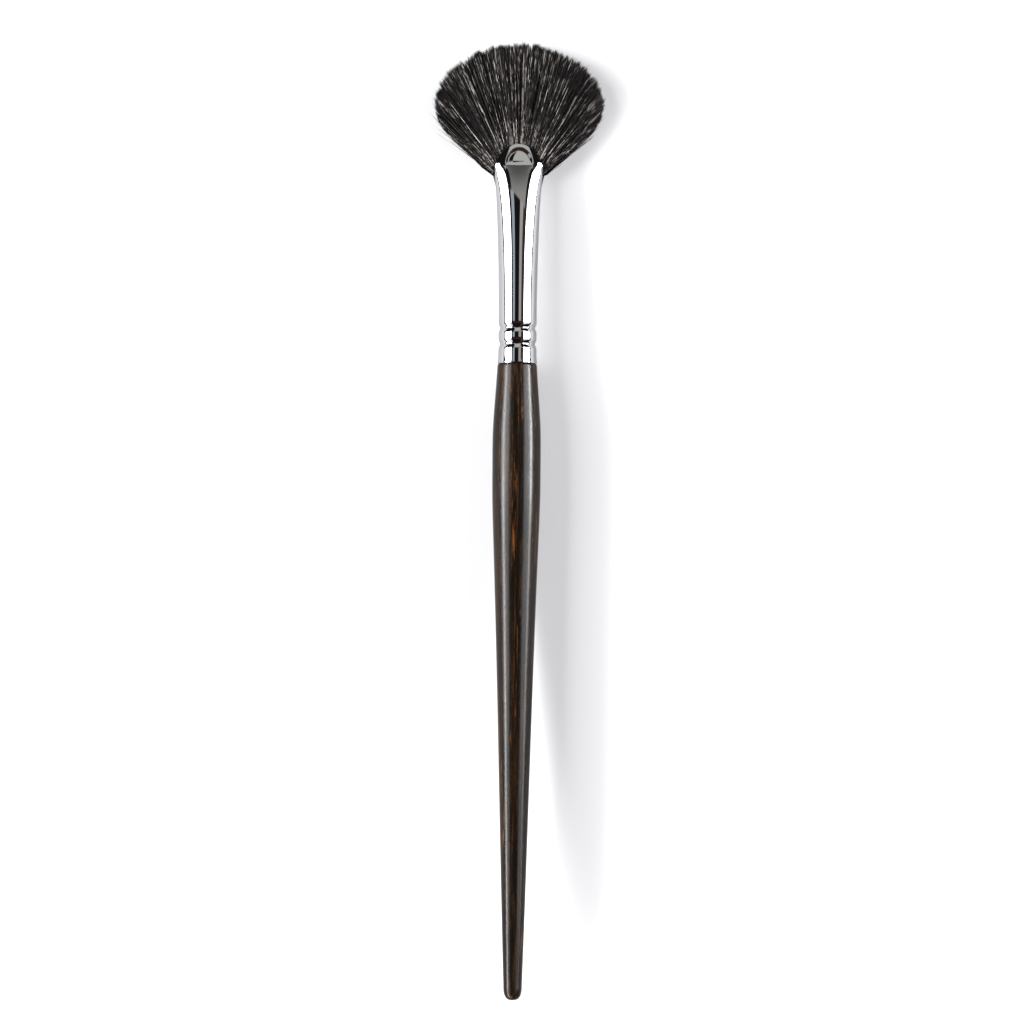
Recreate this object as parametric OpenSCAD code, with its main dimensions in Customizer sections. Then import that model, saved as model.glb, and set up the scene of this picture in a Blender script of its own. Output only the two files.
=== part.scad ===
// Fan brush for powder: a turned wooden handle, a drawn metal ferrule pressed flat at its mouth,
// and a flat fan of hair set in it. It lies on its back as it comes to rest.
// Lengths along the brush run from the tail of the handle to the tips of the hair.
// Lengths inside the ferrule, called d below, run from its back end towards the hair.

/* [Handle] */
// Length of the wood that shows, from the tail to the ferrule
handle_len = 132.6; // [120:0.1:145]
// Radius of the tail, just before its rounded end
tail_r = 1.95; // [1.6:0.05:2.6]
// Length of the rounded end of the tail
nose_len = 3.2; // [2:0.1:5]
// Radius where the long taper meets the grip
shoulder_r = 4.7; // [4.3:0.05:4.9]
// Length from that place to the crown of the grip
shoulder_len = 13; // [9:0.5:18]
// Radius of the grip at its crown
crown_r = 5.04; // [4.9:0.02:5.6]
// Length over which the crown keeps its full radius
crown_len = 8.5; // [5:0.5:12]
// Length of the neck, from the crown to the ferrule
neck_len = 16.1; // [12:0.1:20]
// Radius of the neck where it meets the ferrule
neck_r = 4.12; // [4:0.02:4.4]
// Chamfer that leaves a fine dark line at the ferrule
neck_chamfer = 0.22; // [0.1:0.02:0.4]
// Length of the tenon that goes into the ferrule
tenon_len = 16; // [12:0.5:18]

/* [Ferrule] */
// Outer diameter of the drawn tube
tube_d = 8; // [7.6:0.1:8.2]
// Thickness of its wall
wall = 0.35; // [0.25:0.05:0.5]
// Length from its back end to the top of the arched lip
ferrule_len = 46; // [42:0.5:50]
// Length that stays round, with the crimps in it
round_len = 9.6; // [9:0.1:12]
// How far the back end is flared
flare = 0.16; // [0:0.02:0.3]
// Length of the flare
flare_len = 2.3; // [1:0.1:3]
// Number of crimps rolled round the tube
crimps = 2; // [1:1:2]
// Distance from the back end to the first crimp
crimp_from_end = 4.05; // [3.4:0.05:4.6]
// Distance from one crimp to the next
crimp_pitch = 3.35; // [2.6:0.05:4]
// Width of a crimp at half its depth
crimp_w = 0.84; // [0.6:0.02:1.2]
// Depth of a crimp
crimp_depth = 0.34; // [0.2:0.02:0.4]
// Width of the pressed mouth, outside
mouth_w = 10.16; // [9.6:0.1:11]
// Thickness of the pressed mouth at its crease, outside
mouth_t = 4.24; // [4:0.02:5]
// Angle at which each side of the lip closes in beyond the crease
lip_angle = 7; // [3:0.5:9]
// How far the faces of the lip are crowned, as a share of the half thickness
lip_crown = 0.44; // [0.3:0.02:0.55]
// Height of the arched lip above the notches at the sides
arch_h = 6.8; // [5:0.1:8]
// Length of the lip beyond its crease
lip_len = 4.2; // [3:0.1:5]
// Depth of the step pressed along the crease
crease_step = 0.18; // [0.1:0.02:0.24]
// Width of the arched dish pressed into each face of the lip
dish_w = 5.48; // [4.6:0.02:6]
// Height of that dish above the crease
dish_h = 3.38; // [2.8:0.02:3.6]
// Angle at which its floor falls towards the mouth
dish_angle = 14; // [9:0.5:15]

/* [Hair] */
// Length of hair beyond the lip, on the centre line
hair_out = 21.35; // [18:0.05:26]
// Radius of the round outline of the tips
fan_r = 18.8; // [17:0.1:20]
// Angle of each flank from the centre line
flank_angle = 47.2; // [40:0.2:50]
// Thickness of the fan at its fullest
fan_t = 6.1; // [5:0.1:7]
// Thickness left at the tips
tip_t = 0.7; // [0.4:0.1:1.2]
// Number of locks that the hair parts into, on each face
locks = 22; // [16:1:24]
// Depth of the partings between locks, as a share of the half thickness there
parting = 0.42; // [0.2:0.02:0.6]
// How far the tips stay back between two locks
tip_notch = 1.5; // [0.5:0.1:2.5]
// How far some locks end short of the outline
tip_scatter = 0.8; // [0:0.1:1.5]
// How far the lower corners of the fan are rounded back
corner_back = 4.6; // [2:0.2:6]

/* [Inside the ferrule] */
// Length of the resin that holds the hair
plug_len = 7.6; // [6:0.2:9]
// Depth of the cup that the hair stands in
cup_depth = 2; // [1:0.1:3]
// Wall of that cup
cup_wall = 0.4; // [0.3:0.05:0.6]
// Diameter of the thread tied round the hair
thread_d = 0.36; // [0.25:0.02:0.5]
// Turns of that thread
thread_turns = 6; // [3:1:8]
// Distance from the cup to the first turn
thread_above = 0.5; // [0.3:0.1:1.5]

/* [Fits] */
// Gap between the wood and the back end of the ferrule
seam = 0.05; // [0.02:0.01:0.15]
// Clearance of the tenon in the ferrule
tenon_gap = 0.06; // [0.03:0.01:0.12]
// Distance from the tenon to the resin
tenon_to_plug = 0.2; // [0.1:0.05:0.5]
// Clearance of the resin in the ferrule
plug_gap = 0.06; // [0.03:0.01:0.12]
// Clearance of the hair and of the thread
hair_gap = 0.08; // [0.05:0.01:0.15]
// Height at which the hair passes over the rim
rim_gap = 0.12; // [0.1:0.02:0.3]
// How much narrower the bundle is where it bends out over the notches
flank_in = 0.32; // [0.3:0.02:0.5]

/* [Hidden] */

wood_colour = [0.11, 0.075, 0.06];
metal_colour = [0.8, 0.8, 0.82];
hair_colour = [0.17, 0.155, 0.155];
resin_colour = [0.86, 0.78, 0.58];
thread_colour = [0.9, 0.88, 0.82];

tube_r = tube_d / 2;
ferrule_at = handle_len + seam;
side_len = ferrule_len - arch_h;
crease_at = ferrule_len - lip_len;
total_len = ferrule_at + ferrule_len + hair_out;

// How the tube widens: slowly at first, then quickly at the very mouth
spread_power = 1.9;
late_power = 12;
late_share = 0.26;
// How it is pressed flat
press_power = 3.3;
// Where its round section turns into a lens, from this far before the crease to that far beyond it,
// how square the corners of the lens are, and how much more it is crowned for each unit of length
lens_before = 2.8;
lens_beyond = 0.2;
lens_power = 10;
crown_rise = 0.07;
// How steep the step along the crease and the wall of the dish are, and where the floor starts to fall
crease_slope = 0.45;
crease_half = 0.3;
wall_slope = 0.46;
floor_from = 0.4;
// How deep the outline must be before the press reaches it
press_from = 0.4;
press_over = 0.6;
// How full the arch of the lip is
arch_power = 2.2;

// Slopes of the handle's outline at the tail, at the shoulder, before the neck and at the ferrule
tail_slope = 0.033;
shoulder_slope = 0.037;
crown_slope = -0.01;
neck_slope = -0.04;
outline_steps = 10;
nose_steps = 7;
turned_sides = 96;
// How much the neck narrows before its chamfer, as a share of the chamfer
neck_share = 0.1;

// Places along the round part between its stations, and where its crimps have faded
round_steps = 10;
crimp_fade = 1.2;

// Mesh of the pressed part of the tube, and how far its rings stay apart at the notches
tube_sides = 48;
press_sides = 64;
press_rows = 7;
crease_rows = 3;
dish_rows = 8;
ring_apart = 0.06;
// How far the pressed part is lapped into the round part, and how much thinner it is there
lap_len = 0.4;
lap = 0.03;

// Mesh of the fan: four columns to a lock
columns = 4 * locks;
groove = [0, 0.55, 1, 0.55];
back_shift = 2;
uneven = 0.012;
uneven_turns = 1260;
scatter_turn = 137.5;
// How the corners round back, how the scatter fades at the flanks, and how the partings deepen
corner_power = 16;
flank_power = 8;
parting_power = 0.7;
// Fullness of the fan from flank to flank, and where along the hair it is thickest
fan_power = 2.4;
belly_at = 0.45;
tip_power = 1.6;
least_t = 0.05;
root_rows = 2;
lip_rows = 3;
fan_rows = [0.07, 0.16, 0.27, 0.36, 0.45, 0.56, 0.68, 0.8, 0.91, 1];

thread_sides = 6;
steps_a_turn = 20;
// Pitch of the thread, and the length over which the hair swells again beyond it, in its diameters
thread_pitch = 1.15;
swell = 3;
// Where the hair starts to bend out, below the notches
bend_below = 0.6;
// Steps of halving when a place is looked for
halvings = 24;

function clamp01(v) = max(0, min(1, v));
function mix(a, b, v) = a + (b - a) * v;
function smooth(v) = let (w = clamp01(v)) w * w * (3 - 2 * w);
function eased(v) = (1 - cos(180 * v)) / 2;
function rounded(u, n) = pow(max(0, 1 - pow(min(1, abs(u)), n)), 1 / n);

// Smooth curve through two stations, each [place, radius, slope]
function curve_r(a, b, v) =
    let (span = b[0] - a[0])
    a[1] * (2 * pow(v, 3) - 3 * pow(v, 2) + 1) + b[1] * (3 * pow(v, 2) - 2 * pow(v, 3))
    + span * (a[2] * (pow(v, 3) - 2 * pow(v, 2) + v) + b[2] * (pow(v, 3) - pow(v, 2)));

// Handle: stations from the tail to the ferrule
crown_end = handle_len - neck_len;
crown_start = crown_end - crown_len;
stations = [
    [nose_len, tail_r, tail_slope],
    [crown_start - shoulder_len, shoulder_r, shoulder_slope],
    [crown_start, crown_r, 0],
    [crown_end, crown_r, crown_slope],
    [handle_len, neck_r, neck_slope]
];
nose = [for (k = [0:nose_steps - 1]) let (turn = 90 * k / nose_steps)
    [tail_r * sin(turn), nose_len * (1 - cos(turn))]];
body = [for (k = [0:len(stations) - 2], j = [0:outline_steps - 1]) let (v = j / outline_steps)
    [curve_r(stations[k], stations[k + 1], v), mix(stations[k][0], stations[k + 1][0], v)]];
wood_outline = concat(nose, body, [
    [neck_r + neck_chamfer * neck_share, handle_len - neck_chamfer],
    [neck_r - neck_chamfer, handle_len]
]);

// Ferrule: outer radius of the round part, with its flare and its crimps, which have long shoulders
crimp_at = [for (k = [0:crimps - 1]) crimp_from_end + k * crimp_pitch];
function total(list, k = 0) = k < len(list) ? list[k] + total(list, k + 1) : 0;
function crimp_dip(d) = total([for (c = crimp_at) 1 / (1 + pow(2 * (d - c) / crimp_w, 2))]);
function round_r(d) = tube_r + flare * pow(max(0, 1 - d / flare_len), 2)
    - crimp_depth * crimp_dip(d) * smooth((round_len - d) / crimp_fade);
round_stations = concat([0, flare_len], crimp_at, [round_len]);
round_places = concat([for (k = [0:len(round_stations) - 2], j = [0:round_steps - 1])
    mix(round_stations[k], round_stations[k + 1], eased(j / round_steps))], [round_len]);

// Ferrule: half width, half thickness and squareness of the pressed part
function spread(d) = clamp01((d - round_len) / (side_len - round_len));
function half_w(d) = tube_r + (mouth_w / 2 - tube_r)
    * ((1 - late_share) * pow(spread(d), spread_power) + late_share * pow(spread(d), late_power));
function half_t(d) = tube_r - (tube_r - mouth_t / 2)
    * pow(clamp01((d - round_len) / (crease_at - round_len)), press_power)
    - tan(lip_angle) * max(0, d - crease_at);
// Height of the section at a share u of the half width, as a share of the half thickness
function lens_part(d) = smooth((d - crease_at + lens_before) / (lens_before + lens_beyond));
function outline_z(u, d) =
    let (crown = lip_crown + crown_rise * max(0, d - crease_at))
    mix(rounded(u, 2), (1 - crown * pow(u, 2)) * rounded(u, lens_power), lens_part(d));
// Height of the rim at a share u of the half width: low at the sides, arched in the middle
function rim_at(u) = side_len + arch_h * rounded(u, arch_power);

// A point on the section at d, drawn in from the outer surface by inset
function section_point(turn, d, inset) =
    [
        cos(turn) * (half_w(d) - inset),
        ferrule_at + d,
        sign(sin(turn)) * outline_z(cos(turn), d) * (half_t(d) - inset)
    ];
function section_ring(d, inset) =
    [for (k = [0:tube_sides - 1]) section_point(360 * k / tube_sides, d, inset)];

// Faces of a skin of rings. A wrapped skin closes on itself, another has a flat cap at each end
function skin_faces(rings, sides, wrapped) = concat(
    [for (j = [0:rings - (wrapped ? 1 : 2)], i = [0:sides - 1]) let (
        a = j * sides + i,
        b = j * sides + (i + 1) % sides,
        c = ((j + 1) % rings) * sides + (i + 1) % sides,
        d = ((j + 1) % rings) * sides + i
    ) each [[a, b, c], [a, c, d]]],
    wrapped ? [] : [
        [for (i = [sides - 1:-1:0]) i],
        [for (i = [0:sides - 1]) (rings - 1) * sides + i]
    ]
);
module skin(rings, wrapped) {
    polyhedron(
        points = [for (ring = rings, p = ring) p],
        faces = skin_faces(len(rings), len(rings[0]), wrapped),
        convexity = 6
    );
}

// Height pressed into the faces of the lip: a step along the crease, then an arched dish whose wall
// slopes in evenly and whose floor falls towards the mouth
function dished(x, d) =
    let (
        up = d - crease_at,
        fall = tan(lip_angle) * max(0, up),
        in_w = x / (dish_w / 2),
        in_h = max(0, up) / dish_h,
        inward = max(0, 1 - norm([in_w, in_h])) * dish_w / 2,
        wall = -fall - wall_slope * inward,
        step = -crease_slope * max(0, up + crease_half),
        floor_z = -crease_step - tan(dish_angle) * max(0, up - floor_from)
    )
    max(wall, step, floor_z) + fall;
function pressed(p, d) =
    [p[0], p[1], p[2] + sign(p[2]) * dished(p[0], d) * smooth((abs(p[2]) - press_from) / press_over)];

// Ferrule: rings of the pressed part, held below the rim where the notches cut in
press_places = [for (k = [0:press_rows]) mix(round_len, side_len - 1, k / press_rows)];
lip_places = concat(
    [for (k = [0:crease_rows]) mix(side_len, crease_at - crease_half, k / crease_rows)],
    [for (k = [0:dish_rows - 1]) mix(crease_at + crease_half / 3, ferrule_len, k / (dish_rows - 1))]
);
ring_places = concat([round_len - lap_len], press_places, lip_places);
function lip_ring(k, inset) = [for (i = [0:press_sides - 1]) let (
        turn = 360 * i / press_sides,
        below = ring_apart * (len(ring_places) - 1 - k),
        d = min(ring_places[k], rim_at(cos(turn)) - below)
    ) pressed(section_point(turn, d, inset), d)];
outer_rings = [for (k = [0:len(ring_places) - 1]) lip_ring(k, lap / 2)];
inner_rings = [for (k = [len(ring_places) - 1:-1:0]) lip_ring(k, wall - lap)];

// Inside: the resin follows the tenon, the hair stands in its cup, and the thread lies above
plug_at = tenon_len + tenon_to_plug;
cup_top = plug_at + plug_len;
root_at = cup_top - cup_depth + seam;
thread_at = cup_top + thread_above + thread_d / 2;
thread_rise = thread_d * thread_pitch;
thread_end = thread_at + thread_turns * thread_rise;
free_at = thread_end + thread_d * swell;
inside_end = side_len - bend_below;

// Hair: how far it is drawn in from the outside of the tube, more where it is tied
tied_in = wall + hair_gap + thread_d + hair_gap;
loose_in = wall + hair_gap;
dish_depth = max([for (k = [0:dish_rows * dish_rows])
    -dished(0, crease_at + dish_h * k / dish_rows / dish_rows)]);
function hair_in(d) = mix(tied_in, loose_in, clamp01((d - thread_end - thread_d) / (free_at - thread_end)));

// Hair: the flanks pass just over the notches, and all hairs point away from one place
rim_w = mouth_w / 2 - wall;
flank_clear = 0.07;
fan_from = side_len + flank_clear - rim_w / tan(flank_angle);
fan_centre = ferrule_len + hair_out - fan_r;
function ray_x(c, d) = c * tan(flank_angle) * (d - fan_from);
function path_x(c, d) = c * max(half_w(d) - hair_in(d), tan(flank_angle) * (d - fan_from));

// Where the hair at a share c of the width passes the rim, found by halving
function rim_cross(c, low, high, left) =
    let (mid = (low + high) / 2)
    left == 0 ? mid
    : mid < rim_at(path_x(c, mid) / rim_w) ? rim_cross(c, mid, high, left - 1)
    : rim_cross(c, low, mid, left - 1);

// Length from that place to the round outline of the tips, along the hair
function tip_reach(c) =
    let (angle = atan(c * tan(flank_angle)), rise = fan_centre - fan_from)
    rise * cos(angle) + sqrt(pow(fan_r, 2) - pow(rise * sin(angle), 2)) - corner_back * pow(abs(c), corner_power);
function lock_short(i) = tip_scatter * (0.5 - 0.5 * cos(scatter_turn * (floor((i + 2) / 4) - locks / 2)));
function tip_at(c, i) =
    let (angle = atan(c * tan(flank_angle)))
    fan_from + (tip_reach(c) - tip_notch * groove[i % 4] - lock_short(i) * (1 - pow(abs(c), flank_power)))
    * cos(angle);

function column_c(i) =
    let (u = 2 * i / columns - 1)
    u + uneven * sin(uneven_turns * u) * (1 - u * u);
function room_for_dish(d) =
    dish_depth * smooth((d - side_len) / (crease_at - side_len));
function inside_z(d, x, narrower) =
    (half_t(d) - hair_in(d) - room_for_dish(d)) * outline_z(x / (half_w(d) - hair_in(d) - narrower), d);
function least_z(c) = least_t * rounded(c, fan_power);

// A point of the hair inside the ferrule, then one on the way to the rim, then one beyond it
function root_point(i, face, d) =
    let (c = column_c(i), x = c * (half_w(d) - hair_in(d)))
    [x, ferrule_at + d, face * max(inside_z(d, x, 0), least_z(c))];
function lip_point(i, face, v) =
    let (
        c = column_c(i),
        d = mix(inside_end, rim_cross(c, inside_end, ferrule_len + 1, halvings) + rim_gap, v),
        x = path_x(c, d)
    )
    [x, ferrule_at + d, face * max(inside_z(d, x, flank_in * v), least_z(c))];
function fan_point(i, face, v) =
    let (
        c = column_c(i),
        lock = face > 0 ? i : i + back_shift,
        start = rim_cross(c, inside_end, ferrule_len + 1, halvings) + rim_gap,
        d = mix(start, tip_at(c, lock), v),
        rim_z = max(inside_z(start, path_x(c, start), flank_in), least_z(c)),
        full_z = mix(rim_z, fan_t / 2 * rounded(c, fan_power), 1 - pow(1 - min(1, v / belly_at), 2)),
        thin = 1 - (1 - tip_t / fan_t) * pow(max(0, v - belly_at) / (1 - belly_at), tip_power),
        parted = 1 - parting * pow(v, parting_power) * groove[lock % 4]
    )
    [ray_x(c, d), ferrule_at + d, face * full_z * thin * parted];

// One ring of the hair: the front from flank to flank, then the back the other way
function both_faces(front, back) = concat(front, [for (i = [columns - 1:-1:1]) back[i]]);
function all_columns() = [0:columns];
root_places = [for (k = [0:root_rows]) mix(root_at, thread_end, k / root_rows)];
hair_rings = concat(
    [for (d = concat(root_places, [free_at, mix(free_at, inside_end, 0.5), inside_end])) both_faces(
        [for (i = all_columns()) root_point(i, 1, d)],
        [for (i = all_columns()) root_point(i, -1, d)]
    )],
    [for (k = [1:lip_rows]) both_faces(
        [for (i = all_columns()) lip_point(i, 1, k / lip_rows)],
        [for (i = all_columns()) lip_point(i, -1, k / lip_rows)]
    )],
    [for (v = fan_rows) both_faces(
        [for (i = all_columns()) fan_point(i, 1, v)],
        [for (i = all_columns()) fan_point(i, -1, v)]
    )]
);
// The tips are closed from the front to the back, and so is the root
function strip_faces(first, flip) = [for (i = [0:columns - 1]) let (
        a = first + i,
        b = first + i + 1,
        c = first + (2 * columns - i - 1) % (2 * columns),
        d = first + (2 * columns - i) % (2 * columns),
        quad = [a, b, c, d],
        ends = i == 0 ? [a, b, c] : i == columns - 1 ? [a, b, d] : quad,
        turned = flip ? [for (k = [len(ends) - 1:-1:0]) ends[k]] : ends
    ) each len(turned) == 3 ? [turned] : [[turned[0], turned[1], turned[2]], [turned[0], turned[2], turned[3]]]];

// Rest: the brush leans until both the grip and the head touch the surface that it lies on
grip_low = [for (p = wood_outline) [p[1], p[0]]];
head_low = concat(
    [for (d = round_places) [ferrule_at + d, round_r(d)]],
    [for (d = press_places) [ferrule_at + d, half_t(d)]],
    [for (v = fan_rows, i = [0:columns]) let (p = fan_point(i, -1, v)) [p[1], -p[2]]]
);
function depth(points, lean) = max([for (p = points) p[0] * sin(lean) + p[1] * cos(lean)]);
function rest_lean(low, high, left) =
    let (mid = (low + high) / 2)
    left == 0 ? mid
    : depth(head_low, mid) < depth(grip_low, mid) ? rest_lean(mid, high, left - 1)
    : rest_lean(low, mid, left - 1);
lean = rest_lean(0, 6, halvings);
lift = depth(grip_low, lean);

module lying() {
    translate([0, -total_len * cos(lean) / 2, lift])
        rotate([-lean, 0, 0])
            children();
}
module turned(outline) {
    rotate([-90, 0, 0])
        rotate_extrude($fn = turned_sides)
            polygon(outline);
}

// Turned handle, with a tenon that follows the inside of the round part of the ferrule
module handle() {
    tenon_chamfer = 0.5;
    tenon = [for (d = concat(round_places, [tenon_len - tenon_chamfer]))
        [round_r(d) - wall - tenon_gap, ferrule_at + d]];
    tip = [tube_r - wall - tenon_gap - tenon_chamfer, ferrule_at + tenon_len];
    foot = [round_r(0) - wall - tenon_gap, handle_len];
    color(wood_colour)
        lying()
            turned(concat(wood_outline, [foot], tenon, [tip, [0, ferrule_at + tenon_len]]));
}

// Ferrule: the crimped round part is turned, and the pressed part is a skin through its sections
module ferrule() {
    outside = [for (d = round_places) [round_r(d), ferrule_at + d]];
    inside = [for (k = [len(round_places) - 1:-1:0]) let (d = round_places[k])
        [round_r(d) - wall, ferrule_at + d]];
    color(metal_colour)
        lying()
            union() {
                turned(concat(outside, inside));
                skin(concat(outer_rings, inner_rings), true);
            }
}

// Fan of hair, parted into locks, with its root tied and set in the resin
module hair_fan() {
    last = (len(hair_rings) - 1) * 2 * columns;
    all_sides = skin_faces(len(hair_rings), 2 * columns, false);
    sides = [for (k = [0:len(all_sides) - 3]) all_sides[k]];
    color(hair_colour)
        lying()
            polyhedron(
                points = [for (ring = hair_rings, p = ring) p],
                faces = concat(sides, strip_faces(0, true), strip_faces(last, false)),
                convexity = 8
            );
}

// Resin: a plug that fills the tube above the tenon, with a cup for the root of the hair
module resin_plug() {
    side = wall + plug_gap;
    outer = [for (k = [0:3]) section_ring(mix(plug_at, cup_top, k / 3), side)];
    cup = [section_ring(cup_top, side + cup_wall), section_ring(cup_top - cup_depth, side + cup_wall)];
    color(resin_colour)
        lying()
            skin(concat(outer, cup), false);
}

// Thread: one helix round the tied hair
module root_binding() {
    inset = wall + hair_gap + thread_d / 2;
    steps = thread_turns * steps_a_turn;
    rings = [for (k = [0:steps]) let (
            turn = 360 * k / steps_a_turn,
            d = thread_at + thread_rise * k / steps_a_turn,
            middle = section_point(turn, d, inset),
            ahead = section_point(turn + 1, d, inset),
            across = [ahead[0] - middle[0], ahead[2] - middle[2]] / norm(ahead - middle)
        ) [for (j = [0:thread_sides - 1]) let (round = 360 * j / thread_sides) middle + thread_d / 2 * [
            across[1] * cos(round),
            sin(round),
            -across[0] * cos(round)
        ]]];
    color(thread_colour)
        lying()
            skin(rings, false);
}

handle();
ferrule();
hair_fan();
resin_plug();
root_binding();
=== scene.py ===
import math

import bpy
import numpy as np
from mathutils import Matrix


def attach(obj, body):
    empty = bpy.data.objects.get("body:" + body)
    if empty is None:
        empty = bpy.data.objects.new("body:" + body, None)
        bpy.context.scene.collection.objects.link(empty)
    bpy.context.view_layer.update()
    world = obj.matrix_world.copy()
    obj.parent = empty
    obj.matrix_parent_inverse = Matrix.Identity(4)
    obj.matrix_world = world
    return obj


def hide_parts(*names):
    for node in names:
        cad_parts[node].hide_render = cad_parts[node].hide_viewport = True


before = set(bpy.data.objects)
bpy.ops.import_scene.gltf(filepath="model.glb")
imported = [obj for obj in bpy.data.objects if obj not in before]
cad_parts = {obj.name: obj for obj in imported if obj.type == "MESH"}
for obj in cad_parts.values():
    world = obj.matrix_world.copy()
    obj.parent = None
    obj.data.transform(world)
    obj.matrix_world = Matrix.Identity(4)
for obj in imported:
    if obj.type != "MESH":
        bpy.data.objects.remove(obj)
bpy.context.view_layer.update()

# Fan brush for powder, lying as it comes to rest, seen from above.
# Every shape is worked out in millimetres on a straight brush: x across the fan, s along it from the
# tail, z through its thickness. laid() then puts it in the row frame, in metres.
scene = bpy.context.scene

# Rest, as the part's source works it out
LEAN = math.radians(1.59909)
LIFT = 8.30099
TOTAL = 200.0

# Handle
HANDLE_LEN = 132.6
TAIL_R = 1.95
NOSE_LEN = 3.2
NOSE_POWER = 2.8
SHOULDER_R = 4.7
SHOULDER_AT = 95.0
CROWN_R = 5.04
CROWN_START = 108.0
CROWN_END = 116.5
NECK_R = 4.12
NECK_CHAMFER = 0.34
TENON_LEN = 16.0
TENON_CHAMFER = 0.5
TENON_GAP = 0.06

# Ferrule: d runs from its back end towards the hair
FERRULE_AT = 132.65
TUBE_R = 4.0
WALL = 0.35
ROUND_LEN = 9.6
FLARE = 0.16
FLARE_LEN = 2.3
CRIMP_AT = (4.05, 7.4)
CRIMP_W = 0.92
CRIMP_DEPTH = 0.34
CRIMP_FADE = 1.2
MOUTH_HALF = 5.08
MOUTH_HALF_T = 2.12
LIP_FALL = math.tan(math.radians(12.0))
PRESS_POWER = 3.3
SLOW_SHARE = 0.74
SLOW_POWER = 1.9
LATE_SHARE = 0.26
LATE_POWER = 12
SIDE_LEN = 39.2
ARCH_H = 6.8
ARCH_POWER = 2.2
FERRULE_LEN = 46.0
CREASE_AT = 41.8
LENS_FROM = 39.0
LENS_TO = 42.0
LENS_POWER = 10.0
LENS_CROWN = 0.42
LENS_CROWN_RISE = 0.067
LENS_CROWN_CUBE = 0.0072

# Relief pressed into each face of the lip: an arched wall, a step along the crease, a trough beyond
# it, a disc that falls towards the mouth, and a ramp down from the disc's left edge
ARCH_MID = 0.10
ARCH_FOOT = 0.1
ARCH_HALF_W = 2.80
ARCH_TALL = 3.28
ARCH_MEAN_R = 2.95
WALL_TOP = 0.42
WALL_SIDE = 0.47
STEP_SLOPE = 0.50
STEP_BACK = 0.25
TROUGH = 0.235
TROUGH_RISE = 0.15
DISC_LIFT = 0.05
DISC_FROM = 0.45
DISC_FALL = math.tan(math.radians(13.5))
DISC_TILT = 0.05
DISC_TILT_MID = 1.1
EDGE_OUT = 1.12
EDGE_IN = 0.95
EDGE_FROM = 0.3
EDGE_TALL = 2.3
EDGE_POWER = 2.2
RAMP = 0.25
RAMP_EASE = 0.0723
RAMP_BEND = 0.036
CORNER_SOFT = 0.03
RELIEF_BACK = 1.45
RELIEF_FADE = 1.2
FACE_FROM = 0.4
FACE_OVER = 0.6

# Fan of hair. All hairs point away from a place inside the ferrule, at FAN_FROM.
FLANK = math.radians(47.2)
TIP_FLANK = math.radians(48.9)
FAN_FROM = 34.89
FAN_CENTRE = 48.8
FAN_R = 19.6
CORNER_BACK = 4.6
CORNER_POWER = 16
SHOULDER_OUT = 0.70
SHOULDER_TURN = math.radians(31.5)
SHOULDER_WIDE = math.radians(9.0)
TOP_FLAT = 0.4
TOP_WIDE = math.radians(14.0)
FAN_HALF_T = 3.05
TIP_HALF_T = 0.35
TIP_THIN_POWER = 1.6
FAN_POWER = 2.4
BELLY_AT = 0.45
HAIR_IN = WALL + 0.08
DISH_DEPTH = 0.34
DISH_HALF_W = 3.4
DISH_BACK = 1.2
DISH_EASE = 1.8
HAIR_CLEAR = 0.06

# One hair: places along it, where 0 is the rim and 1 its tip, and its radius at each but the last
HAIR_AT = (-1.0, 0.0, 0.17, 0.42, 0.70, 0.93, 1.0)
HAIR_R = (0.046, 0.050, 0.056, 0.056, 0.050, 0.034)

# How hairs lean together, from broad locks to fine strands. Each row gives the number of bundles across
# the fan, how far a hair leans to the middle of its bundle, how much further in its last quarter, how
# much lighter the middle is than the sides as painted highlight on the ridge and painted shade in the
# grooves, how much shorter the sides are in mm, and by how many mm the bundles end unevenly
LOCKS = (
    (22, 0.10, 0.0, 0.0, 0.0, 0.2),
    (102, 0.30, 0.38, 0.12, 1.2, 0.7),
    (236, 0.20, 0.15, 0.08, 0.3, 0.5),
)
LOCK_SEED = 5

# How far the middle of a bundle is shifted at most, as a share of its width, the last part of a hair
# in which its tip leans more, and how much of a pull or a ridge goes into making a bundle thinner
BUNDLE_SHIFT = 0.25
TIP_PART = 0.25
THIN_SHARE = 0.5

# Share of hairs with painted glints in the middle of the fan, and how much it falls by at the flanks
GLINT_SHARE = 0.40
GLINT_SHARE_FALL = 0.13

# Tone, from 0 for black to 1 for the lightest. All hairs have the base and what the middle adds, and
# lose some to the right and at the flanks. Glint hairs and strays have more, as painted glints. The rest
# is chance
BASE_TONE = 0.28
MIDDLE_TONE = 0.035
RIGHT_FALL = 0.03
FLANK_FALL = 0.06
FLANK_FALL_POWER = 1.5
GLINT_TONE = 0.54
GLINT_TONE_CHANCE = 0.12
HAIR_TONE_CHANCE = 0.06
BUNDLE_TONE_CHANCE = 0.02
STRAY_GLINT = 0.45

# Ends in mm: how much longer all hairs are, how short one falls by chance, and how many are long and
# by how much at most
ALL_LONGER = 0.2
SHORT_CHANCE = 0.3
LONG_SHARE = 0.03
LONG_MOST = 1.2

# Strays: where they stand, as a share of the fan's width and as the most it may be, by how many mm
# they are longer, and how much thinner they are
STRAY_TURN = (0.985, 1.055)
STRAY_PAST = 0.07
STRAY_LONGER = (-9.0, 3.0)
STRAY_THINNER = 0.35

# Unruliness: how a hair turns aside, and a stray more, how it wavers in mm over how many radians and
# from what start at most, how loose it lies through the fan in mm, and its share of the width given
TURN_CHANCE = 0.008
STRAY_TURN_CHANCE = 0.02
WAVER = 0.07
WAVER_SPAN = (5, 11)
WAVER_START = 6.3
LOOSE = 0.05
WIDTH_SHARE = (0.7, 1.2)


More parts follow.
